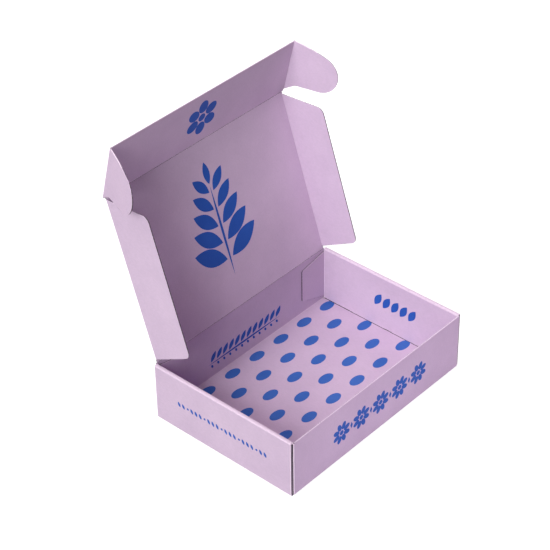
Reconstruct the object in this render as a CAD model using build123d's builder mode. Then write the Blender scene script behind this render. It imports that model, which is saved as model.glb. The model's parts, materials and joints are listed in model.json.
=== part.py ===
from build123d import *
import os

# A one-piece corrugated mailer, standing open. The tray has rolled side walls, and the lid,
# hinged on the tray's rear wall, carries a tuck flap with two lock ears, and two dust flaps.
# X runs along the lid hinge, Y to the rear and Z up. The origin is the middle of the underside.

# Board
board = 1.0                   # thickness of the corrugated board
fold_radius = 0.4             # inside radius of a folded crease
hinge_gap = 0.2               # daylight between two panels at a scored hinge
layer_gap = 0.1               # between layers that lie on each other
rest_gap = 0.2                # between the closed lid and the walls that it closes on

# Tray
tray_width = 254.0
tray_depth = 175.5
tray_height = 64.7
ear_clearance = 0.1           # on each side of a lock ear in the slot inside a side wall
end_flap_length = 46.0        # end flaps of the front and rear walls, held inside the side walls
end_flap_taper = 6.0          # how far an end flap narrows at its top and foot
end_flap_corner = 5.0
corner_flap_length = 36.0     # flaps of the inner side panels, lying on the rear wall
corner_flap_foot = 3.0        # height of its root above the tray floor
corner_flap_drop = 7.0        # how far its top edge slopes down
corner_flap_rise = 12.0       # how far its lower edge slopes up
corner_flap_corner = 2.5
foot_gap = 0.6                # from an inner side panel's foot to the tray floor
tab_length = 42.0             # lock tabs at the foot of an inner side panel
tab_spacing = 52.0
tab_slot_length = 48.0
tab_clearance = 0.5
tab_recess = 0.1              # a tab stops this far above the underside

# Lid and flaps
lid_opening = 108.2           # degrees from closed
tuck_fold = 32.0              # degrees from the lid's plane
dust_flap_fold = 90.0
right_ear_fold = 75.0         # degrees from the tuck flap's plane
left_ear_fold = 70.5
tuck_foot_gap = 1.7           # height of the closed tuck flap's free edge above the ground
dust_foot_gap = 12.9          # height of a closed dust flap's free edge above the tray floor
dust_end_gap = 1.0            # from a closed dust flap's ends to the walls
dust_rear_taper = 9.7
dust_front_taper = 13.0
dust_corner = 8.0
ear_length = 52.8             # from the ear's crease to its tip
ear_root_gap = 1.5            # from the lid's front crease to the ear's root
ear_notch_radius = 9.0

# Ear outline, as shares of the ear's length and of the tuck flap's
ear_notch_shares = (0.205, 0.18)
ear_chin_shares = (0.70, 0.262)
ear_tip_shares = (1.0, 0.64)
ear_brow_shares = (0.74, 0.925)
ear_crown_shares = (0.385, 0.985)

# Tray, worked out
half_width = tray_width / 2
half_depth = tray_depth / 2
outer_bend = fold_radius + board
end_flap_face = half_width - board - board - 2 * ear_clearance
inner_panel_back = end_flap_face - board - layer_gap
cavity_half = inner_panel_back - board
rear_flap_back = half_depth - board - layer_gap
roll_end = half_depth - board - rest_gap
panel_foot = board + foot_gap
bend_run = outer_bend + outer_bend  # a bend and as much flat again

# Lid and flaps, worked out: each hinge axis is at mid-board
hinge_edge = board / 2 + hinge_gap
hinge_y = half_depth - board / 2
hinge_z = tray_height + rest_gap + board / 2
lid_length = hinge_y + half_depth + rest_gap + board / 2
tuck_length = hinge_z - tuck_foot_gap
dust_axis = cavity_half - rest_gap - board / 2
dust_width = hinge_z - board - dust_foot_gap
dust_root_start = hinge_y - (rear_flap_back - board) + dust_end_gap
dust_root_end = hinge_y + half_depth - board - dust_end_gap
ear_axis = half_width - board - ear_clearance - board / 2
lid_half = dust_axis + board / 2
tuck_half = ear_axis - hinge_edge


def folded(plane, shift, turn):
    """The plane of the next panel: moved to its crease, then turned about it."""
    return Plane(plane.location * Location(shift, turn))


def hinge_section(length):
    """Section of a hinged panel, with its hinge end half round about the crease."""
    Rectangle(length, board, align=(Align.MIN, Align.CENTER))
    Circle(board / 2)


def side_flap(plane, root_length, width, outline):
    """A flap on a side crease: plane's X runs out from the crease and its Y along it."""
    with BuildPart() as flap:
        with BuildSketch(Plane(origin=plane.origin, x_dir=plane.x_dir, z_dir=plane.y_dir)):
            hinge_section(width)
        extrude(amount=root_length)
        with BuildSketch(plane):
            add(outline)
        extrude(amount=board, both=True, mode=Mode.INTERSECT)
    return flap.part


# Front and rear end flaps: folded back from the wall, between the layers of the side wall
with BuildPart() as end_flap:
    with BuildSketch():
        with BuildLine():
            FilletPolyline(
                (end_flap_face - bend_run, -half_depth),
                (end_flap_face, -half_depth),
                (end_flap_face, end_flap_length - half_depth),
                radius=outer_bend,
            )
            offset(amount=board, side=Side.LEFT)
        make_face()
    extrude(amount=tray_height)
    end_flap_top = tray_height - board - fold_radius
    with BuildSketch(Plane.YZ):
        with BuildLine():
            Polyline(
                (-half_depth, outer_bend),
                (outer_bend - half_depth, outer_bend),
                (end_flap_length - half_depth, outer_bend + end_flap_taper),
                (end_flap_length - half_depth, end_flap_top - end_flap_taper),
                (outer_bend - half_depth, end_flap_top),
                (-half_depth, end_flap_top),
                close=True,
            )
        make_face()
        fillet(vertices().group_by(Axis.X)[-1], radius=end_flap_corner)
    extrude(amount=half_width, mode=Mode.INTERSECT)

# Corner flap: the inner side panel turned round the rear corner, on to the rear wall
with BuildPart() as corner_flap:
    with BuildSketch():
        with BuildLine():
            FilletPolyline(
                (inner_panel_back, rear_flap_back - bend_run),
                (inner_panel_back, rear_flap_back),
                (inner_panel_back - corner_flap_length, rear_flap_back),
                radius=outer_bend,
            )
            offset(amount=board, side=Side.LEFT)
        make_face()
    extrude(amount=tray_height)
    corner_flap_low = board + corner_flap_foot
    corner_flap_top = tray_height - bend_run
    with BuildSketch(Plane.XZ):
        with BuildLine():
            Polyline(
                (inner_panel_back, corner_flap_low),
                (inner_panel_back, corner_flap_top),
                (cavity_half - fold_radius, corner_flap_top),
                (inner_panel_back - corner_flap_length, corner_flap_top - corner_flap_drop),
                (inner_panel_back - corner_flap_length, corner_flap_low + corner_flap_rise),
                (cavity_half - fold_radius, corner_flap_low),
                close=True,
            )
        make_face()
        fillet(vertices().group_by(Axis.X)[0], radius=corner_flap_corner)
    extrude(amount=half_depth, both=True, mode=Mode.INTERSECT)

# Slots in the base for the lock tabs of both inner side panels
with BuildSketch() as tab_slots:
    with GridLocations(2 * cavity_half + board, tab_spacing, 2, 2):
        Rectangle(board + 2 * tab_clearance, tab_slot_length)

# Right side wall: up from the base, rolled over the end flaps and locked in the base by tabs
with BuildPart() as side_wall:
    with BuildSketch(Plane.XZ):
        with BuildLine():
            FilletPolyline(
                (end_flap_face - bend_run, 0),
                (half_width, 0),
                (half_width, tray_height),
                (cavity_half, tray_height),
                (cavity_half, tray_height - bend_run),
                radius=outer_bend,
            )
            offset(amount=board, side=Side.LEFT)
        make_face()
    extrude(amount=half_depth - outer_bend, both=True)
    extrude(tab_slots.sketch, amount=board, mode=Mode.SUBTRACT)
    inner_panel_end = rear_flap_back - outer_bend
    with BuildSketch(Plane.YZ.offset(cavity_half)):
        with Locations((-roll_end, panel_foot)):
            Rectangle(roll_end + inner_panel_end, tray_height - outer_bend - panel_foot, align=Align.MIN)
        with Locations((-tab_spacing / 2, tab_recess), (tab_spacing / 2, tab_recess)):
            Rectangle(tab_length, panel_foot, align=(Align.CENTER, Align.MIN))
    extrude(amount=board)
    add(end_flap.part)
    mirror(end_flap.part, about=Plane.XZ)
    add(corner_flap.part)

# Tray: front wall, base and rear wall in one strip, with a side wall at each end
with BuildPart() as tray:
    with BuildSketch(Plane.YZ):
        with BuildLine():
            FilletPolyline(
                (-half_depth, tray_height),
                (-half_depth, 0),
                (half_depth, 0),
                (half_depth, tray_height),
                radius=outer_bend,
            )
            offset(amount=board, side=Side.LEFT)
        make_face()
    extrude(amount=end_flap_face - outer_bend, both=True)
    extrude(tab_slots.sketch, amount=board, mode=Mode.SUBTRACT)
    add(side_wall.part)
    mirror(side_wall.part, about=Plane.YZ)

# Lid: its long edges are set back where the dust flaps hinge
closed_lid = Plane(origin=(0, hinge_y, hinge_z), x_dir=(1, 0, 0), z_dir=(0, 0, -1))
lid_plane = folded(closed_lid, (0, 0, 0), (-lid_opening, 0, 0))
with BuildPart() as lid:
    with BuildSketch(Plane(origin=lid_plane.origin, x_dir=lid_plane.y_dir, z_dir=lid_plane.x_dir)):
        hinge_section(lid_length - hinge_edge)
    extrude(amount=lid_half, both=True)
    with BuildSketch(lid_plane):
        with Locations((0, (dust_root_start + dust_root_end) / 2)):
            Rectangle(2 * lid_half, dust_root_end - dust_root_start + 2 * hinge_gap)
            Rectangle(2 * (dust_axis - hinge_edge), lid_length, mode=Mode.SUBTRACT)
    extrude(amount=board, both=True, mode=Mode.SUBTRACT)

# Tuck flap: closes down the outside of the front wall
tuck_plane = folded(lid_plane, (0, lid_length, 0), (tuck_fold, 0, 0))
with BuildPart() as tuck_flap:
    with BuildSketch(Plane(origin=tuck_plane.origin, x_dir=tuck_plane.y_dir, z_dir=tuck_plane.x_dir)):
        hinge_section(tuck_length)
    extrude(amount=tuck_half, both=True)

# Dust flaps: fold down inside the side walls
with BuildSketch() as dust_outline:
    with BuildLine():
        Polyline(
            (-board, dust_root_start),
            (0, dust_root_start),
            (dust_width, dust_root_start + dust_rear_taper),
            (dust_width, dust_root_end - dust_front_taper),
            (0, dust_root_end),
            (-board, dust_root_end),
            close=True,
        )
    make_face()
    fillet(dust_outline.vertices().group_by(Axis.X)[-1], radius=dust_corner)
dust_plane = folded(lid_plane, (dust_axis, 0, 0), (0, -dust_flap_fold, 0))
right_dust_flap = side_flap(dust_plane, lid_length, dust_width, dust_outline.sketch)
left_dust_flap = mirror(right_dust_flap, about=Plane.YZ)


def ear_point(shares):
    """A point of the ear's outline: out from its crease, and along it from the lid."""
    return (shares[0] * ear_length, shares[1] * tuck_length)


# Lock ears: a notched neck at the lid, a round lobe and a long back edge
with BuildSketch() as ear_outline:
    with BuildLine():
        Polyline(
            (0, tuck_length),
            (-board, tuck_length),
            (-board, ear_root_gap),
            (0, ear_root_gap),
            ear_point(ear_notch_shares),
            ear_point(ear_chin_shares),
        )
        ThreePointArc(ear_point(ear_chin_shares), ear_point(ear_tip_shares), ear_point(ear_brow_shares))
        ThreePointArc(ear_point(ear_brow_shares), ear_point(ear_crown_shares), (0, tuck_length))
    make_face()
    fillet(ear_outline.vertices().sort_by_distance(ear_point(ear_notch_shares))[0], radius=ear_notch_radius)


def lock_ear(fold):
    """The right-hand ear, folded back from the tuck flap's plane by so many degrees."""
    ear_plane = folded(tuck_plane, (ear_axis, 0, 0), (0, -fold, 0))
    return side_flap(ear_plane, tuck_length, ear_length, ear_outline.sketch)


right_ear = lock_ear(right_ear_fold)
left_ear = mirror(lock_ear(left_ear_fold), about=Plane.YZ)

# Each piece gets its label and its file
pieces = {
    "tray": tray.part,
    "lid": lid.part,
    "tuck_flap": tuck_flap.part,
    "right_dust_flap": right_dust_flap,
    "left_dust_flap": left_dust_flap,
    "right_ear": right_ear,
    "left_ear": left_ear,
}
os.makedirs("parts", exist_ok=True)
for name, piece in pieces.items():
    piece.label = name
    export_step(piece, f"parts/{name}.step")
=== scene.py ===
import cmath
import json
from math import cos, pi, radians, sin

import bmesh
import bpy
from mathutils import Matrix, Vector
from mathutils.geometry import tessellate_polygon


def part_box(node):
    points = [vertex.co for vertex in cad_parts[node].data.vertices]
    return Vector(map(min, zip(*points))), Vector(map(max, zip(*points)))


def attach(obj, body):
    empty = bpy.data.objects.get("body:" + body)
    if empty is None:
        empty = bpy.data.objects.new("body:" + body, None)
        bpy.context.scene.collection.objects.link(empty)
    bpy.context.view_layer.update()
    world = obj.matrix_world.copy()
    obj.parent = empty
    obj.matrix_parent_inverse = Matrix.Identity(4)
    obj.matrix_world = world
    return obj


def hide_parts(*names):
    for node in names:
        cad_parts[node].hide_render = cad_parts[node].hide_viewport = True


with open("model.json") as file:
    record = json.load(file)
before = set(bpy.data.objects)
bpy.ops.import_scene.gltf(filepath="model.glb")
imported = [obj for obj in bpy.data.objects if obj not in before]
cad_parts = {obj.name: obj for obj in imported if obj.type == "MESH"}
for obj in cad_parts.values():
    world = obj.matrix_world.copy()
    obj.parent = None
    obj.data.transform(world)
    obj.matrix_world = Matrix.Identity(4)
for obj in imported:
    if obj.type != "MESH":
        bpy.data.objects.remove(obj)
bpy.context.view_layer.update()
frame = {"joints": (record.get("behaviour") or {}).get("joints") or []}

# Sizes in millimetres. The panels are built in their own frames, and a panel's frame
# carries the scale to metres.
MM = 0.001
X = Vector((1, 0, 0))
Y = Vector((0, 1, 0))
Z = Vector((0, 0, 1))
MIRROR_X = Matrix.Diagonal((-1, 1, 1, 1))
MIRROR_Y = Matrix.Diagonal((1, -1, 1, 1))

# Board: two liners and a fluted medium
BOARD = 1.0
LINER = 0.18
MEDIUM = 0.1
MEDIUM_MARGIN = 0.05          # from the medium's edge to the outline
FLUTE_PITCH = 4.1             # as the dots on the corner flap's edge are spaced
FLUTE_STEPS = 8
EDGE_CRUSH = 0.3              # how far an edge along the flutes is pressed in, on each face
OPEN_CRUSH = 0.02             # and an edge across the flutes, where they stay open
EDGE_CRUSH_WIDTH = 0.5
ALONG_FLUTES = 0.97           # an edge runs along the flutes above this squared cosine
LONG_EDGE = 4.0               # a cut edge longer than this eases off the score that it meets
EASE = 0.6
ON_LINE = 0.01                # a point this near to a scored line lies on it
SHARP_ANGLE = radians(32)
FOLD_RADIUS = 0.4
FOLD_STEPS = 6
OUTER_BEND = FOLD_RADIUS + BOARD
HINGE_GAP = 0.2
HINGE_EDGE = BOARD / 2 + HINGE_GAP
HINGE_STEPS = 8
LAYER_GAP = 0.1
CUT_WEAR_AND_HIGHLIGHT = 0.7                # wear of the print, and painted highlight, at cut edges
SCORE_WEAR_AND_HIGHLIGHT = 0.4              # and along scored lines
SKIN_DEPTH = 0.05             # how far ink and dark strips sink into the liner
SKIN_PROUD = 0.03             # and stand out of it

# Tray, from the frame
tray_low, tray_high = (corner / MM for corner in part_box("tray"))
HALF_WIDTH = tray_high.x
HALF_DEPTH = tray_high.y
TRAY_HEIGHT = tray_high.z
EAR_CLEARANCE = 0.2
ROLL_CLEARANCE = 0.2
FOOT_GAP = 0.6
END_FLAP_FACE = HALF_WIDTH - 2 * BOARD - EAR_CLEARANCE
INNER_BACK = END_FLAP_FACE - BOARD - LAYER_GAP
CAVITY_HALF = INNER_BACK - BOARD
REAR_FLAP_BACK = HALF_DEPTH - BOARD - LAYER_GAP
WALL_END = END_FLAP_FACE - OUTER_BEND
ROLL_END = HALF_DEPTH - BOARD - ROLL_CLEARANCE
SIDE_TOP = TRAY_HEIGHT - OUTER_BEND
PANEL_FOOT = BOARD + FOOT_GAP
TAB_FOOT = 0.1
TAB_HALF = 21.0
TAB_OFFSET = 26.0
SLOT_HALF = 24.0
SLOT_CLEARANCE = 0.5
END_FLAP_LENGTH = 46.0
END_FLAP_TAPER = 6.0
END_FLAP_CORNER = 5.0
CORNER_FLAP_LENGTH = 36.0
CORNER_FLAP_FOOT = 3.0
CORNER_FLAP_END = INNER_BACK - CORNER_FLAP_LENGTH
CORNER_FLAP_LOW = BOARD + CORNER_FLAP_FOOT
CORNER_FLAP_TOP = TRAY_HEIGHT - 2 * OUTER_BEND
CORNER_FLAP_DROP = 7.0
CORNER_FLAP_RISE = 12.0
CORNER_FLAP_CORNER = 2.5
EAR_SLOT_SHADE = 8.0          # how far the painted shade strip of an ear slot reaches in
EAR_SLOT_EDGE = 0.6
UNDER_WALL_FRONT = 0.3        # how far the painted shade strip under an inner wall shows in front of it
UNDER_WALL_BACK = 0.1
TAB_SHADE_LOW = 0.1           # from a tab's foot to its painted shade strip
TAB_SHADE_HIGH = 0.2          # from the base's top to the strip's upper edge

# Lid and flaps, from the frame's joints
joints = {joint["name"]: joint for joint in frame["joints"]}


def joint_point(name):
    return Vector(joints[name]["pos_m"]) / MM


def joint_axis(name):
    return Vector(joints[name]["axis"])


LID_UP = joint_axis("right_dust_flap_hinge")
LID_IN = X.cross(LID_UP)
TUCK_UP = joint_axis("right_ear_hinge")
TUCK_IN = X.cross(TUCK_UP)
LID_LENGTH = (joint_point("tuck_flap_hinge") - joint_point("lid_hinge")).length
TUCK_SHORTFALL = 1.7
TUCK_LENGTH = joint_point("lid_hinge").z - TUCK_SHORTFALL
DUST_AXIS = joint_point("right_dust_flap_hinge").x
EAR_AXIS = joint_point("right_ear_hinge").x
LID_HALF = DUST_AXIS + BOARD / 2
TUCK_HALF = EAR_AXIS - HINGE_EDGE
DUST_SHORTFALL = 12.9
DUST_END_GAP = 1.0
DUST_WIDTH = joint_point("lid_hinge").z - BOARD - DUST_SHORTFALL
DUST_START = joint_point("lid_hinge").y - REAR_FLAP_BACK + BOARD + DUST_END_GAP
DUST_END = joint_point("lid_hinge").y + HALF_DEPTH - BOARD - DUST_END_GAP
DUST_REAR_TAPER = 9.7
DUST_FRONT_TAPER = 13.0
DUST_CORNER = 8.0
EAR_LENGTH = 52.8
EAR_ROOT = 1.5
EAR_NOTCH_RADIUS = 9.0
EAR_NOTCH = (0.205 * EAR_LENGTH, 0.18 * TUCK_LENGTH)
EAR_CHIN = (0.70 * EAR_LENGTH, 0.262 * TUCK_LENGTH)
EAR_TIP = (EAR_LENGTH, 0.64 * TUCK_LENGTH)
EAR_BROW = (0.74 * EAR_LENGTH, 0.925 * TUCK_LENGTH)
EAR_CROWN = (0.385 * EAR_LENGTH, 0.985 * TUCK_LENGTH)
FLAP_CORNER_STEPS = 10
EAR_TIP_STEPS = 28
EAR_CROWN_STEPS = 14

# Finishes, in the order of the list of materials
PRINT, EDGE, CORE_AND_SHADE, INK, PAINTED_SHEEN_INK, SHADED_MOUTH, WORN_AND_HIGHLIGHT = range(7)


def place(origin, right, up):
    """A panel's frame: x runs right, y up and z out of the panel."""
    turn = Matrix((right, up, right.cross(up))).transposed().to_4x4()
    return Matrix.Scale(MM, 4) @ Matrix.Translation(Vector(origin)) @ turn


# From a panel's frame to the section across a crease along its x, or along its y
ACROSS_X = Matrix(((0, 0, 1, 0), (1, 0, 0, 0), (0, 1, 0, 0), (0, 0, 0, 1)))
ACROSS_Y = Matrix(((1, 0, 0, 0), (0, 0, 1, 0), (0, 1, 0, 0), (0, 0, 0, 1)))


def arc(centre, radius, start, end, steps=FOLD_STEPS):
    """Points on an arc, from one angle to another in degrees."""
    turns = [radians(start + (end - start) * i / steps) for i in range(steps + 1)]
    return [(centre[0] + radius * cos(a), centre[1] + radius * sin(a)) for a in turns]


def arc_through(first, middle, last, steps):
    """Points on the arc through three points."""
    a, b, c = (complex(*p) for p in (first, middle, last))
    w = (c - a) / (b - a)
    centre = a + (b - a) * (w - abs(w) ** 2) / (2j * w.imag)
    sweep = cmath.phase((b - centre) / (a - centre)) + cmath.phase((c - centre) / (b - centre))
    points = [centre + (a - centre) * cmath.exp(1j * sweep * i / steps) for i in range(steps + 1)]
    return [(p.real, p.imag) for p in points]


def rounded(corners, steps=6):
    """A polygon whose corners (x, y, radius) are rounded where they have a radius."""
    points = []
    for i, corner in enumerate(corners):
        if len(corner) == 2:
            points.append(corner)
            continue
        here = Vector(corner[:2])
        back = (Vector(corners[i - 1][:2]) - here).normalized()
        ahead = (Vector(corners[(i + 1) % len(corners)][:2]) - here).normalized()
        half = back.angle(ahead) / 2
        centre = here + (back + ahead).normalized() * corner[2] / sin(half)
        first = here + back * corner[2] * cos(half) / sin(half) - centre
        sweep = (pi - 2 * half) * (1 if back.cross(ahead) < 0 else -1)
        for k in range(steps + 1):
            spot = centre + Matrix.Rotation(sweep * k / steps, 2) @ first
            points.append((spot.x, spot.y))
    return points


def rectangle(left, low, right, high):
    return [(left, low), (right, low), (right, high), (left, high)]


def inset(loop, distance):
    """The loop moved to its left by a distance."""
    moved = []
    for i, spot in enumerate(loop):
        here = Vector(spot)
        to_here = (here - Vector(loop[i - 1])).normalized()
        from_here = (Vector(loop[(i + 1) % len(loop)]) - here).normalized()
        one = Vector((-to_here.y, to_here.x))
        two = Vector((-from_here.y, from_here.x))
        spot = here + (one + two) * distance / (1 + one.dot(two))
        moved.append((spot.x, spot.y))
    return moved


def touching(spot, scored):
    """The scored lines (axis, value) that a point of an outline lies on."""
    return {line for line in scored if abs(spot[line[0]] - line[1]) < ON_LINE}


def eased(loop, scored):
    """The loop with a point added on each long cut edge just off the score that it meets."""
    points = []
    for i, here in enumerate(loop):
        before = loop[i - 1]
        run = Vector(here) - Vector(before)
        if run.length > LONG_EDGE and not touching(before, scored) & touching(here, scored):
            step = run.normalized() * EASE
            if touching(before, scored):
                points.append((before[0] + step.x, before[1] + step.y))
            if touching(here, scored):
                points.append((here[0] - step.x, here[1] - step.y))
        points.append(here)
    return points


def triangles(loops):
    return tessellate_polygon([[Vector((x, y, 0)) for x, y in loop] for loop in loops])


class Board:
    """Gathers the faces of one piece of folded board."""

    def __init__(self):
        self.points = []
        self.faces = []           # each with its finish
        self.flute = []           # each point's place across the flutes
        self.wear_and_highlight = []            # how worn the print is at each point, and how much highlight is painted there
        self.level = set()        # numbers of the faces that are shaded flat

    def point(self, frame_, x, y, z, flute=0.0, wear_and_highlight=0.0):
        self.points.append(frame_ @ Vector((x, y, z)))
        self.flute.append(flute)
        self.wear_and_highlight.append(wear_and_highlight)
        return len(self.points) - 1

    def rings(self, lower, upper, finish):
        """Quads between two closed rings of points, with one finish or one for each quad."""
        for i in range(len(lower)):
            shade = finish if isinstance(finish, int) else finish[i]
            self.faces.append(((lower[i - 1], lower[i], upper[i], upper[i - 1]), shade))

    def slab(self, frame_, loops, low, high, faces=EDGE, rim=PRINT, wear_and_highlight=1.0):
        """A closed slab over an outline, from one height to another."""
        below, above = [], []
        for loop in loops:
            below.append([self.point(frame_, x, y, low, 0, wear_and_highlight) for x, y in loop])
            above.append([self.point(frame_, x, y, high, 0, wear_and_highlight) for x, y in loop])
            self.rings(below[-1], above[-1], rim)
        for ring in (below, above):
            flat = [i for part in ring for i in part]
            self.faces += [([flat[i] for i in tri], faces) for tri in triangles(loops)]

    def liner(self, frame_, loops, side, across, scored, dark=False):
        """One liner: its cut edges are crushed, and its scored edges stay level. On a dark face the
        cut edges and their chamfers are painted dark as shade.
        """
        outer, inner = [], []
        along = 1 - across
        # A dark face's cut edges and chamfers take the near-black finish as painted shade
        closed, chamfer_finish = (CORE_AND_SHADE, CORE_AND_SHADE) if dark else (EDGE, WORN_AND_HIGHLIGHT)
        for loop in loops:
            on = [touching(spot, scored) for spot in loop]
            drop, edges = [], []
            for i, lines in enumerate(on):
                run = (Vector(loop[(i + 1) % len(loop)]) - Vector(loop[i - 1])).normalized()
                crush = OPEN_CRUSH + (EDGE_CRUSH - OPEN_CRUSH) * run[along] ** 2
                drop.append(0.0 if lines else crush)
                run = (Vector(loop[i]) - Vector(loop[i - 1])).normalized()
                cut = closed if run[along] ** 2 > ALONG_FLUTES else SHADED_MOUTH
                edges.append(PRINT if on[i - 1] & on[i] else cut)
            rim = []
            for (x, y), d in zip(loop, drop):
                wear_and_highlight = CUT_WEAR_AND_HIGHLIGHT if d else SCORE_WEAR_AND_HIGHLIGHT
                rim.append(self.point(frame_, x, y, side * (BOARD / 2 - d), (x, y)[across], wear_and_highlight))
            outer.append([self.point(frame_, x, y, side * BOARD / 2, (x, y)[across])
                          for x, y in inset(loop, EDGE_CRUSH_WIDTH)])
            inner.append([self.point(frame_, x, y, side * (BOARD / 2 - LINER - d), (x, y)[across])
                          for (x, y), d in zip(loop, drop)])
            self.rings(rim, outer[-1], [chamfer_finish if cut == closed else PRINT for cut in edges])
            self.rings(rim, inner[-1], edges)
        flat = [i for part in outer for i in part]
        shrunk = [inset(loop, EDGE_CRUSH_WIDTH) for loop in loops]
        first = len(self.faces)
        self.faces += [([flat[i] for i in tri], PRINT) for tri in triangles(shrunk)]
        self.level.update(range(first, len(self.faces)))
        flat = [i for part in inner for i in part]
        self.faces += [([flat[i] for i in tri], CORE_AND_SHADE) for tri in triangles(loops)]

    def medium(self, frame_, loop, across):
        """The fluted sheet between the liners, cut to an outline and pressed flat towards it."""
        height = BOARD / 2 - LINER - MEDIUM / 2
        pressed = (height - EDGE_CRUSH) / height
        mouth = (height - OPEN_CRUSH) / height
        along = 1 - across
        low = min(p[across] for p in loop) + MEDIUM_MARGIN
        high = max(p[across] for p in loop) - MEDIUM_MARGIN
        count = round((high - low) / (FLUTE_PITCH / FLUTE_STEPS))
        before = None
        for i in range(count + 1):
            q = low + (high - low) * i / count
            cuts = []
            for k, spot in enumerate(loop):
                one, two = loop[k - 1], spot
                if (one[across] - q) * (two[across] - q) <= 0 and one[across] != two[across]:
                    share = (q - one[across]) / (two[across] - one[across])
                    cuts.append(one[along] + share * (two[along] - one[along]))
            first, last = min(cuts) + MEDIUM_MARGIN, max(cuts) - MEDIUM_MARGIN
            run = min(EDGE_CRUSH_WIDTH, (last - first) / 3)
            wave = height * sin(2 * pi * q / FLUTE_PITCH)
            wave *= pressed + (1 - pressed) * min(1, min(q - low, high - q) / EDGE_CRUSH_WIDTH)
            rows = [(first, wave * mouth), (first + run, wave)]
            rows += [(last - run, wave), (last, wave * mouth)]
            upper = [(r, z + MEDIUM / 2) for r, z in rows]
            lower = [(r, z - MEDIUM / 2) for r, z in reversed(rows)]
            ring = []
            for r, z in upper + lower:
                x, y = (q, r) if across == 0 else (r, q)
                ring.append(self.point(frame_, x, y, z))
            if before:
                self.rings(before, ring, CORE_AND_SHADE)
            else:
                self.faces.append((ring, EDGE))
            before = ring
        self.faces.append((before, EDGE))

    def panel(self, frame_, loop, holes=(), flutes="x", scored=(), core=None, dark=0):
        """Two liners and the medium between them. One face's cut edges may be painted dark as
        shade.
        """
        across = 0 if flutes == "y" else 1
        loops = [eased(loop, scored)] + [list(reversed(hole)) for hole in holes]
        for side in (1, -1):
            self.liner(frame_, loops, side, across, scored, side == dark)
        self.medium(frame_, core or loop, across)

    def fold(self, frame_, centre, start, end, low, high, shaded_steps=0):
        """A bend about a line along the frame's z. Its last steps may be painted dark as shade, and
        then the rest of its outer arc light as wear and painted highlight.
        """
        section = arc(centre, OUTER_BEND, start, end) + arc(centre, FOLD_RADIUS, end, start)
        rim = [PRINT] * len(section)
        if shaded_steps:
            rim[1:FOLD_STEPS + 1] = [WORN_AND_HIGHLIGHT] * (FOLD_STEPS - shaded_steps) + [CORE_AND_SHADE] * shaded_steps
        self.slab(frame_, [section], low, high, rim=rim)

    def skin(self, frame_, loop, face=1, finish=CORE_AND_SHADE, wear_and_highlight=1.0):
        """A thin layer on one face: ink, or a dark strip painted as the shade in a narrow gap."""
        levels = sorted((face * (BOARD / 2 - SKIN_DEPTH), face * (BOARD / 2 + SKIN_PROUD)))
        self.slab(frame_, [loop], *levels, faces=finish, rim=finish, wear_and_highlight=wear_and_highlight)

    def nose(self, frame_, low, high):
        """The half-round end of a panel at a scored hinge."""
        self.slab(frame_, [arc((0, 0), BOARD / 2, 90, 270, HINGE_STEPS)], low, high)


# Materials
def nodes_of(name):
    material = bpy.data.materials.new(name)
    material.use_nodes = True
    tree = material.node_tree
    return material, tree, tree.nodes["Principled BSDF"]


def node(tree, kind, inputs=(), **settings):
    made = tree.nodes.new(kind)
    for key, value in settings.items():
        setattr(made, key, value)
    for key, value in dict(inputs).items():
        if isinstance(value, bpy.types.NodeSocket):
            tree.links.new(value, made.inputs[key])
        else:
            made.inputs[key].default_value = value
    return made


def linear(red, green, blue):
    """A colour given as 0 to 255 on screen."""
    parts = [c / 255 for c in (red, green, blue)]
    return tuple(
        c / 12.92 if c <= 0.04045 else ((c + 0.055) / 1.055) ** 2.4 for c in parts
    ) + (1.0,)


def grey(value):
    return (value, value, value, 1.0)


def fibres(tree):
    """Slow mottling and short paper fibres, over the piece's own coordinates."""
    where = node(tree, "ShaderNodeTexCoord").outputs["Object"]
    cloud = node(tree, "ShaderNodeTexNoise",
                 {"Vector": where, "Scale": 22.0, "Detail": 4.0, "Roughness": 0.6})
    stretched = node(tree, "ShaderNodeMapping", {"Vector": where, "Scale": (1.0, 0.35, 0.6)})
    where = stretched.outputs["Vector"]
    fibre = node(tree, "ShaderNodeTexNoise",
                 {"Vector": where, "Scale": 900.0, "Detail": 3.0, "Roughness": 0.65})
    return cloud.outputs["Fac"], fibre.outputs["Fac"]


def ramp(tree, value, low, high, first, second):
    made = node(tree, "ShaderNodeValToRGB", {"Fac": value})
    made.color_ramp.elements[0].position = low
    made.color_ramp.elements[0].color = first
    made.color_ramp.elements[1].position = high
    made.color_ramp.elements[1].color = second
    return made.outputs["Color"]


def mix(tree, factor, first, second, blend="MIX"):
    made = node(tree, "ShaderNodeMix", data_type="RGBA", blend_type=blend)
    sockets = made.inputs["Factor"], made.inputs[6], made.inputs[7]
    for socket, value in zip(sockets, (factor, first, second)):
        if isinstance(value, bpy.types.NodeSocket):
            tree.links.new(value, socket)
        else:
            socket.default_value = value
    return made.outputs[2]


def maths(tree, operation, first, second):
    return node(tree, "ShaderNodeMath", {0: first, 1: second}, operation=operation).outputs[0]


def flute_wave(tree):
    flute = node(tree, "ShaderNodeAttribute", attribute_name="flute").outputs["Fac"]
    return maths(tree, "SINE", maths(tree, "MULTIPLY", flute, 2 * pi / FLUTE_PITCH), 0.0)


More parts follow.
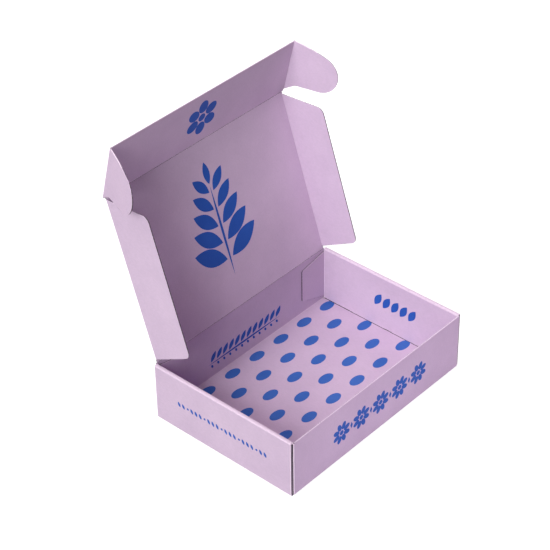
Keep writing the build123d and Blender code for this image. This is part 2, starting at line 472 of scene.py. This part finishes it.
def printed_paper():
    """Lilac print on the liner: mottled, lighter on the folds and cut edges as wear and painted
    highlight, faintly ribbed by the flutes.
    """
    material, tree, shader = nodes_of("lilac_board")
    cloud, fibre = fibres(tree)
    body = ramp(tree, cloud, 0.3, 0.7, linear(206, 183, 209), linear(214, 191, 216))
    body = mix(tree, 1.0, body, ramp(tree, fibre, 0.3, 0.75, grey(0.95), grey(1.03)), "MULTIPLY")
    wear_and_highlight = node(tree, "ShaderNodeAttribute", attribute_name="wear_and_highlight").outputs["Fac"]
    rub_and_highlight = maths(tree, "MULTIPLY", wear_and_highlight, ramp(tree, fibre, 0.3, 0.7, grey(0.35), grey(0.75)))
    tree.links.new(mix(tree, rub_and_highlight, body, linear(240, 219, 239)), shader.inputs["Base Color"])
    rough = ramp(tree, cloud, 0.2, 0.8, grey(0.6), grey(0.74))
    tree.links.new(rough, shader.inputs["Roughness"])
    height = maths(tree, "ADD", maths(tree, "MULTIPLY", flute_wave(tree), 0.12), fibre)
    bump = node(tree, "ShaderNodeBump", {"Height": height, "Strength": 0.5, "Distance": 0.00005})
    tree.links.new(bump.outputs["Normal"], shader.inputs["Normal"])
    shader.inputs["Specular IOR Level"].default_value = 0.05
    return material


def bare_paper(name, dark, light):
    """Unprinted paper, on the cut edges and inside the board."""
    material, tree, shader = nodes_of(name)
    cloud, fibre = fibres(tree)
    body = mix(tree, cloud, ramp(tree, fibre, 0.3, 0.7, dark, light), light)
    tree.links.new(body, shader.inputs["Base Color"])
    bump = node(tree, "ShaderNodeBump", {"Height": fibre, "Strength": 0.6, "Distance": 0.00008})
    tree.links.new(bump.outputs["Normal"], shader.inputs["Normal"])
    shader.inputs["Roughness"].default_value = 0.9
    shader.inputs["Specular IOR Level"].default_value = 0.02
    return material


def flute_mouths_painted_shade():
    """Cut edges across the flutes: the shade in the flute openings painted as dark bands, with
    paper between them.
    """
    material, tree, shader = nodes_of("flute_mouths_painted_shade")
    body = ramp(tree, flute_wave(tree), 0.35, 0.8, linear(38, 20, 42), linear(150, 120, 152))
    tree.links.new(body, shader.inputs["Base Color"])
    shader.inputs["Roughness"].default_value = 0.9
    shader.inputs["Specular IOR Level"].default_value = 0.1
    return material


def blue_ink(name, dark, light):
    """Royal blue ink, laid a little unevenly over the fibres."""
    material, tree, shader = nodes_of(name)
    cloud, fibre = fibres(tree)
    body = ramp(tree, cloud, 0.3, 0.7, dark, light)
    thin = ramp(tree, fibre, 0.62, 0.82, grey(0.0), grey(0.35))
    tree.links.new(mix(tree, thin, body, linear(92, 130, 200)), shader.inputs["Base Color"])
    rough = ramp(tree, cloud, 0.2, 0.8, grey(0.42), grey(0.55))
    tree.links.new(rough, shader.inputs["Roughness"])
    bump = node(tree, "ShaderNodeBump", {"Height": fibre, "Strength": 0.4, "Distance": 0.00004})
    tree.links.new(bump.outputs["Normal"], shader.inputs["Normal"])
    shader.inputs["Specular IOR Level"].default_value = 0.1
    return material


materials = [
    printed_paper(),
    bare_paper("liner_edge", linear(228, 206, 228), linear(244, 225, 243)),
    # Near black: the board's inside, painted as the shade in its flutes and in narrow gaps
    bare_paper("fluting_and_painted_shade", linear(22, 10, 26), linear(36, 19, 40)),
    blue_ink("blue_ink", linear(36, 82, 172), linear(46, 94, 184)),
    # A lighter copy of the blue ink, for the dots on the base: painted sheen
    blue_ink("blue_ink_painted_sheen", linear(55, 99, 180), linear(66, 110, 191)),
    flute_mouths_painted_shade(),
    # Light lilac for crushed cut edges and folds: wear, made lighter as a painted highlight
    bare_paper("worn_edge_and_highlight", linear(234, 213, 235), linear(246, 229, 246)),
]


def make_piece(name, board, body, stands_for=None):
    """The gathered faces as one object that moves with a body."""
    mesh = bpy.data.meshes.new(name)
    mesh.from_pydata(board.points, [], [face for face, _ in board.faces])
    for material in materials:
        mesh.materials.append(material)
    mesh.polygons.foreach_set("material_index", [finish for _, finish in board.faces])
    tidy = bmesh.new()
    tidy.from_mesh(mesh)
    bmesh.ops.recalc_face_normals(tidy, faces=tidy.faces)
    tidy.to_mesh(mesh)
    tidy.free()
    for key, values in (("flute", board.flute), ("wear_and_highlight", board.wear_and_highlight)):
        mesh.attributes.new(key, "FLOAT", "POINT").data.foreach_set("value", values)
    mesh.set_sharp_from_angle(angle=SHARP_ANGLE)
    smooth = [i not in board.level for i in range(len(board.faces))]
    mesh.polygons.foreach_set("use_smooth", smooth)
    piece = bpy.data.objects.new(name, mesh)
    bpy.context.scene.collection.objects.link(piece)
    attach(piece, body)
    if stands_for:
        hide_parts(stands_for)


# Tray
base_frame = place((0, 0, BOARD / 2), X, Y)
front_frame = place((0, BOARD / 2 - HALF_DEPTH, 0), X, Z)
rear_frame = place((0, HALF_DEPTH - BOARD / 2, 0), -X, Z)
outer_frame = place((HALF_WIDTH - BOARD / 2, 0, 0), Y, Z)
inner_frame = place((CAVITY_HALF + BOARD / 2, 0, 0), -Y, Z)
end_flap_frame = place((END_FLAP_FACE - BOARD / 2, 0, 0), Y, Z)
corner_flap_frame = place((0, REAR_FLAP_BACK - BOARD / 2, 0), X, Z)
plan_frame = place((0, 0, 0), X, Y)
side_section = place((0, 0, 0), X, Z)
strip_section = place((0, 0, 0), Y, Z)

base_half_x = HALF_WIDTH - OUTER_BEND
base_half_y = HALF_DEPTH - OUTER_BEND
slot_left = CAVITY_HALF - SLOT_CLEARANCE
slot_right = INNER_BACK + SLOT_CLEARANCE

tray = Board()
slots = [
    rectangle(min(a, b), centre - SLOT_HALF, max(a, b), centre + SLOT_HALF)
    for a, b in ((slot_left, slot_right), (-slot_left, -slot_right))
    for centre in (-TAB_OFFSET, TAB_OFFSET)
]
tray.panel(
    base_frame,
    rectangle(-base_half_x, -base_half_y, base_half_x, base_half_y),
    holes=slots,
    scored=((0, base_half_x), (0, -base_half_x), (1, base_half_y), (1, -base_half_y)),
    core=rectangle(-slot_left, -base_half_y, slot_left, base_half_y),
)
wall = rectangle(-WALL_END, OUTER_BEND, WALL_END, TRAY_HEIGHT)
wall_scores = ((0, WALL_END), (0, -WALL_END), (1, OUTER_BEND))
tray.panel(front_frame, wall, scored=wall_scores)
tray.panel(rear_frame, wall, scored=wall_scores + ((1, TRAY_HEIGHT),))
tray.fold(strip_section, (-base_half_y, OUTER_BEND), 180, 270, -WALL_END, WALL_END)
tray.fold(strip_section, (base_half_y, OUTER_BEND), 270, 360, -WALL_END, WALL_END)

inner_end = REAR_FLAP_BACK - OUTER_BEND
tabs = []
for centre in (-TAB_OFFSET, TAB_OFFSET):
    tabs += [(centre - TAB_HALF, PANEL_FOOT), (centre - TAB_HALF, TAB_FOOT)]
    tabs += [(centre + TAB_HALF, TAB_FOOT), (centre + TAB_HALF, PANEL_FOOT)]
inner_wall = [(-inner_end, PANEL_FOOT)] + tabs
inner_wall += [(ROLL_END, PANEL_FOOT), (ROLL_END, SIDE_TOP), (-inner_end, SIDE_TOP)]
outer_turn = (base_half_x, SIDE_TOP)
inner_turn = (CAVITY_HALF + OUTER_BEND, SIDE_TOP)
roll = arc(outer_turn, OUTER_BEND, 0, 90) + arc(inner_turn, OUTER_BEND, 90, 180)
roll += arc(inner_turn, FOLD_RADIUS, 180, 90) + arc(outer_turn, FOLD_RADIUS, 90, 0)
corner_x = INNER_BACK - OUTER_BEND
corner_flap = rounded([
    (corner_x, CORNER_FLAP_LOW),
    (corner_x, CORNER_FLAP_TOP),
    (CORNER_FLAP_END, CORNER_FLAP_TOP - CORNER_FLAP_DROP, CORNER_FLAP_CORNER),
    (CORNER_FLAP_END, CORNER_FLAP_LOW + CORNER_FLAP_RISE, CORNER_FLAP_CORNER),
])
flap_end = END_FLAP_LENGTH - HALF_DEPTH
end_flap = rounded([
    (-base_half_y, OUTER_BEND),
    (flap_end, OUTER_BEND + END_FLAP_TAPER, END_FLAP_CORNER),
    (flap_end, SIDE_TOP - END_FLAP_TAPER, END_FLAP_CORNER),
    (-base_half_y, SIDE_TOP),
])
for side in (Matrix.Identity(4), MIRROR_X):
    tray.fold(side @ side_section, (base_half_x, OUTER_BEND), 270, 360, -base_half_y, base_half_y)
    outer_wall = rectangle(-base_half_y, OUTER_BEND, base_half_y, SIDE_TOP)
    # The outer wall's cut edges on its inner face are painted dark as shade
    tray.panel(side @ outer_frame, outer_wall, flutes="y",
               scored=((1, OUTER_BEND), (1, SIDE_TOP)), dark=-1)
    tray.slab(side @ side_section, [roll], -base_half_y, base_half_y)
    tray.panel(side @ inner_frame, inner_wall, flutes="y", scored=((1, SIDE_TOP), (0, -inner_end)))
    tray.fold(side @ plan_frame, (corner_x, inner_end), 0, 90, CORNER_FLAP_LOW, CORNER_FLAP_TOP)
    tray.panel(side @ corner_flap_frame, corner_flap, scored=((0, corner_x),))
    for end in (Matrix.Identity(4), MIRROR_Y):
        # The last steps of the end flaps' folds are painted dark as shade
        tray.fold(side @ end @ plan_frame, (WALL_END, -base_half_y), 270, 360,
                  OUTER_BEND, SIDE_TOP, shaded_steps=FOLD_STEPS // 2)
        tray.panel(side @ end @ end_flap_frame, end_flap, scored=((0, -base_half_y),))
    # Painted shade: near-black strips at the ear slots, under the inner walls and over the tabs'
    # feet
    near, far = base_half_y - EAR_SLOT_SHADE, base_half_y - EAR_SLOT_EDGE
    for low, high in ((-far, -near), (near, far)):
        tray.skin(side @ outer_frame, rectangle(low, OUTER_BEND, high, SIDE_TOP), face=-1)
    for low, high in (
        (-ROLL_END, -TAB_OFFSET - SLOT_HALF),
        (SLOT_HALF - TAB_OFFSET, TAB_OFFSET - SLOT_HALF),
        (TAB_OFFSET + SLOT_HALF, inner_end),
    ):
        tray.skin(side @ base_frame, rectangle(
            CAVITY_HALF - UNDER_WALL_FRONT, low, INNER_BACK + UNDER_WALL_BACK, high))
    for centre in (-TAB_OFFSET, TAB_OFFSET):
        tray.skin(side @ inner_frame, rectangle(
            centre - TAB_HALF, TAB_FOOT + TAB_SHADE_LOW, centre + TAB_HALF, BOARD + TAB_SHADE_HIGH))
make_piece("tray_board", tray, "tray", "tray")

# Lid, with its long edges set back where the dust flaps hinge
lid_frame = place(joint_point("lid_hinge"), X, LID_UP)
lid_end = LID_LENGTH - HINGE_EDGE
set_back = DUST_AXIS - HINGE_EDGE
notch_low = DUST_START - HINGE_GAP
notch_high = DUST_END + HINGE_GAP
right_edge = [(LID_HALF, 0), (LID_HALF, notch_low), (set_back, notch_low)]
right_edge += [(set_back, notch_high), (LID_HALF, notch_high), (LID_HALF, lid_end)]
lid = Board()
lid.panel(
    lid_frame,
    right_edge + [(-x, y) for x, y in reversed(right_edge)],
    scored=((1, 0), (1, lid_end), (0, set_back), (0, -set_back)),
)
lid.nose(lid_frame @ ACROSS_X, -LID_HALF, LID_HALF)
make_piece("lid_board", lid, "lid", "lid")

# Tuck flap
tuck_frame = place(joint_point("tuck_flap_hinge"), X, TUCK_UP)
tuck = Board()
tuck.panel(tuck_frame, rectangle(-TUCK_HALF, 0, TUCK_HALF, TUCK_LENGTH),
           scored=((1, 0), (0, TUCK_HALF), (0, -TUCK_HALF)))
tuck.nose(tuck_frame @ ACROSS_X, -TUCK_HALF, TUCK_HALF)
make_piece("tuck_flap_board", tuck, "tuck_flap", "tuck_flap")

# Dust flaps and lock ears
dust_outline = rounded([
    (0, DUST_START),
    (DUST_WIDTH, DUST_START + DUST_REAR_TAPER, DUST_CORNER),
    (DUST_WIDTH, DUST_END - DUST_FRONT_TAPER, DUST_CORNER),
    (0, DUST_END),
], FLAP_CORNER_STEPS)
ear_outline = rounded([
    (0, TUCK_LENGTH),
    (0, EAR_ROOT),
    EAR_NOTCH + (EAR_NOTCH_RADIUS,),
    EAR_CHIN,
], FLAP_CORNER_STEPS)
ear_outline += arc_through(EAR_CHIN, EAR_TIP, EAR_BROW, EAR_TIP_STEPS)[1:]
ear_outline += arc_through(EAR_BROW, EAR_CROWN, (0, TUCK_LENGTH), EAR_CROWN_STEPS)[1:-1]


def side_flap(name, parent_in, outline, low, high):
    """A flap that hinges on a side crease, folded as the joint's upper limit says."""
    joint = joints[name + "_hinge"]
    side = 1 if joint["pos_m"][0] > 0 else -1
    fold = radians(joint["range_deg"][1])
    origin = Vector(joint["pos_m"]) / MM
    origin.x *= side
    up = Vector(joint["axis"]) * side
    flap_frame = place(origin, X * cos(fold) + parent_in * sin(fold), up)
    if side < 0:
        flap_frame = MIRROR_X @ flap_frame
    flap = Board()
    flap.panel(flap_frame, outline, scored=((0, 0.0),))
    flap.nose(flap_frame @ ACROSS_Y, low, high)
    make_piece(name + "_board", flap, name, name)


for hand in ("right", "left"):
    side_flap(hand + "_dust_flap", LID_IN, dust_outline, DUST_START, DUST_END)
    side_flap(hand + "_ear", TUCK_IN, ear_outline, EAR_ROOT, TUCK_LENGTH)


# Prints: ink a little proud of the liner
def oval(x, y, width, height, steps=40):
    ring = arc((0, 0), 0.5, 0, 360 - 360 / steps, steps - 1)
    return [(x + a * width, y + b * height) for a, b in ring]


def leaf(x, y, length, width, angle, steps=12):
    """A pointed leaf from its foot, at an angle in degrees from the panel's x."""
    lower = [(length * i / steps, -width / 2 * sin(pi * i / steps) ** 0.85) for i in range(steps)]
    upper = [(length - a, -b) for a, b in lower]
    c, s = cos(radians(angle)), sin(radians(angle))
    return [(x + a * c - b * s, y + a * s + b * c) for a, b in lower + upper]


def lozenge(x, y, width, height):
    return [(x + width / 2, y), (x, y + height / 2), (x - width / 2, y), (x, y - height / 2)]


def clipped(loop, limits):
    """The part of a convex loop inside a rectangle (left, low, right, high)."""
    left, low, right, high = limits
    for axis, value, sign in ((0, left, 1), (1, low, 1), (0, right, -1), (1, high, -1)):
        kept = []
        for i, here in enumerate(loop):
            before = loop[i - 1]
            a, b = (before[axis] - value) * sign, (here[axis] - value) * sign
            if a * b < 0:
                kept.append(tuple(p + (q - p) * a / (a - b) for p, q in zip(before, here)))
            if b >= 0:
                kept.append(here)
        loop = kept
    return loop


def make_print(name, panel_frame, shapes, body, face=1, ink_finish=INK):
    ink = Board()
    for shape in shapes:
        ink.skin(panel_frame, shape, face, ink_finish, wear_and_highlight=0.0)
    make_piece(name, ink, body)


DOT_WIDTH = 19.5
DOT_DEPTH = 11.3
DOT_PITCH = 36.45
ROW_PITCH = 25.25
FIRST_ROW = 74.45
FIRST_DOT = 4.7
DOT_ROWS = 7
DOT_REACH = 5                 # dots to each side of the middle, before they are clipped
DOT_MARGIN = 0.4
dot_side = CAVITY_HALF - DOT_MARGIN
dot_limits = (-dot_side, -base_half_y, dot_side, base_half_y)
dots = []
for row in range(DOT_ROWS):
    for k in range(-DOT_REACH, DOT_REACH):
        x = FIRST_DOT + DOT_PITCH * (k + (row % 2) / 2)
        dot = oval(x, FIRST_ROW - ROW_PITCH * row, DOT_WIDTH, DOT_DEPTH)
        dot = clipped(dot, dot_limits)
        if len(dot) > 2:
            dots.append(dot)
# The base's dots take the lighter ink, as painted sheen
make_print("base_dots", base_frame, dots, "tray", 1, PAINTED_SHEEN_INK)


def sprig(x, y, height, pairs):
    """A stem with pairs of leaves that grow shorter towards its tip."""
    shapes = [leaf(x, y, 0.80 * height, 0.024 * height, 90)]
    out = 0.035 * height
    for k in range(pairs):
        share = k / (pairs - 1)
        foot = y + height * (0.14 + 0.58 * share)
        long = height * (0.36 - 0.15 * share)
        for side in (1, -1):
            lean = 90 - side * (62 - 20 * share)
            a, b = out * cos(radians(lean)), out * sin(radians(lean))
            shapes.append(leaf(x + a, foot + b, long, 0.42 * long, lean))
    shapes.append(leaf(x, y + 0.81 * height, 0.19 * height, 0.07 * height, 90))
    return shapes


def daisy(x, y, size, petals=8):
    """Round petals about a dot."""
    shapes = [oval(x, y, 0.22 * size, 0.22 * size, 24)]
    petal = oval(0.32 * size, 0, 0.36 * size, 1.8 * size / petals, 28)
    for k in range(petals):
        turn = 2 * pi * (k + 0.5) / petals
        c, s = cos(turn), sin(turn)
        shapes.append([(x + a * c - b * s, y + a * s + b * c) for a, b in petal])
    return shapes


SPRIG_FOOT = 32.0
SPRIG_HEIGHT = 122.0
SPRIG_PAIRS = 5
make_print("lid_sprig", lid_frame, sprig(0, SPRIG_FOOT, SPRIG_HEIGHT, SPRIG_PAIRS), "lid")

BLOSSOM_MIDDLE = 32.0
BLOSSOM_SIZE = 42.0
BLOSSOM_PETALS = 6
blossom = daisy(0, BLOSSOM_MIDDLE, BLOSSOM_SIZE, BLOSSOM_PETALS)
make_print("tuck_flap_blossom", tuck_frame, blossom, "tuck_flap")

DAISY_SIZE = 25.0
DAISY_PITCH = 29.0
DAISY_SHIFT = 2.0
DAISY_MIDDLE = 32.0
LOZENGE = (3.6, 8.0)          # width and height
border = []
for k in range(-2, 3):
    border += daisy(DAISY_PITCH * k + DAISY_SHIFT, DAISY_MIDDLE, DAISY_SIZE)
for k in range(-2, 2):
    border.append(lozenge(DAISY_PITCH * (k + 0.5) + DAISY_SHIFT, DAISY_MIDDLE, *LOZENGE))
make_print("front_daisies", front_frame, border, "tray")

ROW_STEP = 5.5
ROW_REACH = 10
ROW_DOT_EVERY = 4
ROW_DOT = 2.6
ROW_DOT_MIDDLE = 33.0
ROW_LEAF_FOOT = 30.0
ROW_LEAF_SHIFT = -1.0
ROW_LEAF = (6.4, 3.0, 66)     # length, width and lean
leaf_row = []
for k in range(-ROW_REACH, ROW_REACH + 1):
    if k % ROW_DOT_EVERY:
        leaf_row.append(leaf(ROW_STEP * k + ROW_LEAF_SHIFT, ROW_LEAF_FOOT, *ROW_LEAF))
    else:
        leaf_row.append(oval(ROW_STEP * k, ROW_DOT_MIDDLE, ROW_DOT, ROW_DOT, 16))
make_print("left_wall_row", MIRROR_X @ outer_frame, leaf_row, "tray")

WALL_LEAF_PITCH = 11.0
WALL_LEAF_SHIFT = 4.0
WALL_LEAF_FOOT = 27.0
WALL_LEAF = (18.0, 8.0, 62)   # length, width and lean
wall_leaves = [leaf(WALL_LEAF_PITCH * k + WALL_LEAF_SHIFT, WALL_LEAF_FOOT, *WALL_LEAF)
               for k in range(-2, 3)]
make_print("right_wall_leaves", inner_frame, wall_leaves, "tray")

BRANCH_LENGTH = 108.0
BRANCH_MIDDLE = 17.5
BRANCH_STEM = 2.4
TWIG_REACH = 6
TWIG_PITCH = 8.8
TWIG_SHIFT = 3.6
UPPER_FOOT = 19.4
UPPER_LEAF = (13.0, 5.8, 58)  # length, width and lean
LOWER_FOOT = 15.8
LOWER_LEAF = (5.0, 2.8, -58)
branch = [leaf(-BRANCH_LENGTH / 2, BRANCH_MIDDLE, BRANCH_LENGTH, BRANCH_STEM, 0)]
for k in range(-TWIG_REACH, TWIG_REACH):
    x = TWIG_PITCH * k + TWIG_SHIFT
    branch += [leaf(x, UPPER_FOOT, *UPPER_LEAF), leaf(x, LOWER_FOOT, *LOWER_LEAF)]
branch = [[(-x, y) for x, y in reversed(shape)] for shape in branch]
make_print("rear_wall_branch", rear_frame, branch, "tray", -1)

# Camera, at the photograph's viewpoint
CAMERA_EYE = Vector((-1.110805, -0.960183, 1.241005))
CAMERA_AZIMUTH = radians(-47.8862)
CAMERA_ELEVATION = radians(36.7977)
CAMERA_ROLL = radians(-0.9262)
CAMERA_LENS = 126.873
SENSOR_WIDTH = 36.0
CAMERA_REACH = 20.0
back = Vector((
    sin(CAMERA_AZIMUTH) * cos(CAMERA_ELEVATION),
    -cos(CAMERA_AZIMUTH) * cos(CAMERA_ELEVATION),
    sin(CAMERA_ELEVATION),
))
level = Vector((cos(CAMERA_AZIMUTH), sin(CAMERA_AZIMUTH), 0))
upright = back.cross(level)
right = level * cos(CAMERA_ROLL) + upright * sin(CAMERA_ROLL)
up = upright * cos(CAMERA_ROLL) - level * sin(CAMERA_ROLL)
camera = bpy.data.objects.new("camera", bpy.data.cameras.new("camera"))
camera.data.lens = CAMERA_LENS
camera.data.sensor_width = SENSOR_WIDTH
camera.data.clip_end = CAMERA_REACH
turn = Matrix((right, up, back)).transposed().to_4x4()
camera.matrix_world = Matrix.Translation(CAMERA_EYE) @ turn
bpy.context.scene.collection.objects.link(camera)
bpy.context.scene.camera = camera


# Soft studio light
def soft_box(name, spot, target, size, watts, colour=(1, 1, 1), height=None):
    lamp = bpy.data.objects.new(name, bpy.data.lights.new(name, "AREA"))
    lamp.data.shape = "RECTANGLE"
    lamp.data.size = size
    lamp.data.size_y = height or size
    lamp.data.energy = watts
    lamp.data.color = colour
    lamp.location = spot
    aim = Vector(target) - Vector(spot)
    lamp.rotation_euler = aim.to_track_quat("-Z", "Y").to_euler()
    bpy.context.scene.collection.objects.link(lamp)


PALE_GREEN = (0.965, 1.0, 0.96)
ROSE = (1.0, 0.90, 0.94)
LILAC = (0.93, 0.87, 1.0)
VIOLET = (0.95, 0.62, 1.0)
BOX_MIDDLE = (0, 0, 0.12)
soft_box("key", (-3.717, -0.655, 2.570), BOX_MIDDLE, 2.0, 137.0, PALE_GREEN)
soft_box("side", (-3.832, -1.395, 2.022), BOX_MIDDLE, 2.75, 55.0, PALE_GREEN)
soft_box("top", (0.0, 0.313, 1.893), BOX_MIDDLE, 1.1, 11.3, ROSE)
soft_box("top_left", (-0.715, 0.260, 1.751), BOX_MIDDLE, 0.8, 5.0, ROSE)
soft_box("front_strip", (-0.01, -0.24, 0.014), (-0.01, -0.088, 0.03), 0.4, 0.135, LILAC, 0.02)
soft_box("front", (0.10, -0.60, 0.03), (0.05, -0.088, 0.03), 0.25, 0.5, VIOLET)
soft_box("right", (1.559, 0.0, 1.02), BOX_MIDDLE, 0.8, 1.7)
soft_box("rear", (1.15, 1.25, 0.62), (0, 0.05, 0.12), 1.0, 18.0)


def seen_rays(tree):
    """1 for the rays on which the surroundings are seen, themselves or in a reflection."""
    rays = node(tree, "ShaderNodeLightPath").outputs
    other = maths(tree, "MAXIMUM", rays["Is Glossy Ray"], rays["Is Transmission Ray"])
    return maths(tree, "MAXIMUM", rays["Is Camera Ray"], other)


# Surroundings: white where they are seen, and a faint tinted light on the object
ROOM_LIGHT = 0.02
ROOM_TINT = (1.0, 0.6, 1.0, 1)
WHITE = (1, 1, 1, 1)
world = bpy.data.worlds.new("studio")
world.use_nodes = True
bpy.context.scene.world = world
tree = world.node_tree
seen = seen_rays(tree)
strength = maths(tree, "ADD", maths(tree, "MULTIPLY", seen, 1 - ROOM_LIGHT), ROOM_LIGHT)
tree.links.new(strength, tree.nodes["Background"].inputs["Strength"])
room = mix(tree, seen, ROOM_TINT, WHITE)
tree.links.new(room, tree.nodes["Background"].inputs["Color"])

# Floor: pale, white to the camera where it is lit, with the object's shadow, and a near-black patch
# under the tray as painted shade
FLOOR_HALF = 4.0
FLOOR_LEVEL = -0.0004
FLOOR_GREY = 0.45
FLOOR_GLOW = 0.80
UNDER_TRAY_SHADE = 0.08
FLOOR_ROUGHNESS = 0.8
inside = (HALF_WIDTH - OUTER_BEND) * MM, (HALF_DEPTH - OUTER_BEND) * MM
corners = ((-1, -1), (1, -1), (1, 1), (-1, 1))
mesh = bpy.data.meshes.new("floor")
mesh.from_pydata(
    [(a * FLOOR_HALF, b * FLOOR_HALF, FLOOR_LEVEL) for a, b in corners]
    + [(a * inside[0], b * inside[1], FLOOR_LEVEL) for a, b in corners],
    [],
    [(0, 1, 5, 4), (1, 2, 6, 5), (2, 3, 7, 6), (3, 0, 4, 7), (4, 5, 6, 7)],
)
floor = bpy.data.objects.new("floor", mesh)
bpy.context.scene.collection.objects.link(floor)
material, tree, shader = nodes_of("pale_floor")
shader.inputs["Base Color"].default_value = grey(FLOOR_GREY)
shader.inputs["Roughness"].default_value = FLOOR_ROUGHNESS
shader.inputs["Specular IOR Level"].default_value = 0.1
shader.inputs["Emission Color"].default_value = WHITE
glow = maths(tree, "MULTIPLY", seen_rays(tree), FLOOR_GLOW)
tree.links.new(glow, shader.inputs["Emission Strength"])
mesh.materials.append(material)
# Painted shade: the floor under the tray is near black and gives no glow
under, _, shader = nodes_of("floor_under_tray_painted_shade")
shader.inputs["Base Color"].default_value = grey(UNDER_TRAY_SHADE)
shader.inputs["Roughness"].default_value = FLOOR_ROUGHNESS
mesh.materials.append(under)
mesh.polygons[4].material_index = 1

bpy.context.scene.view_settings.view_transform = "Standard"
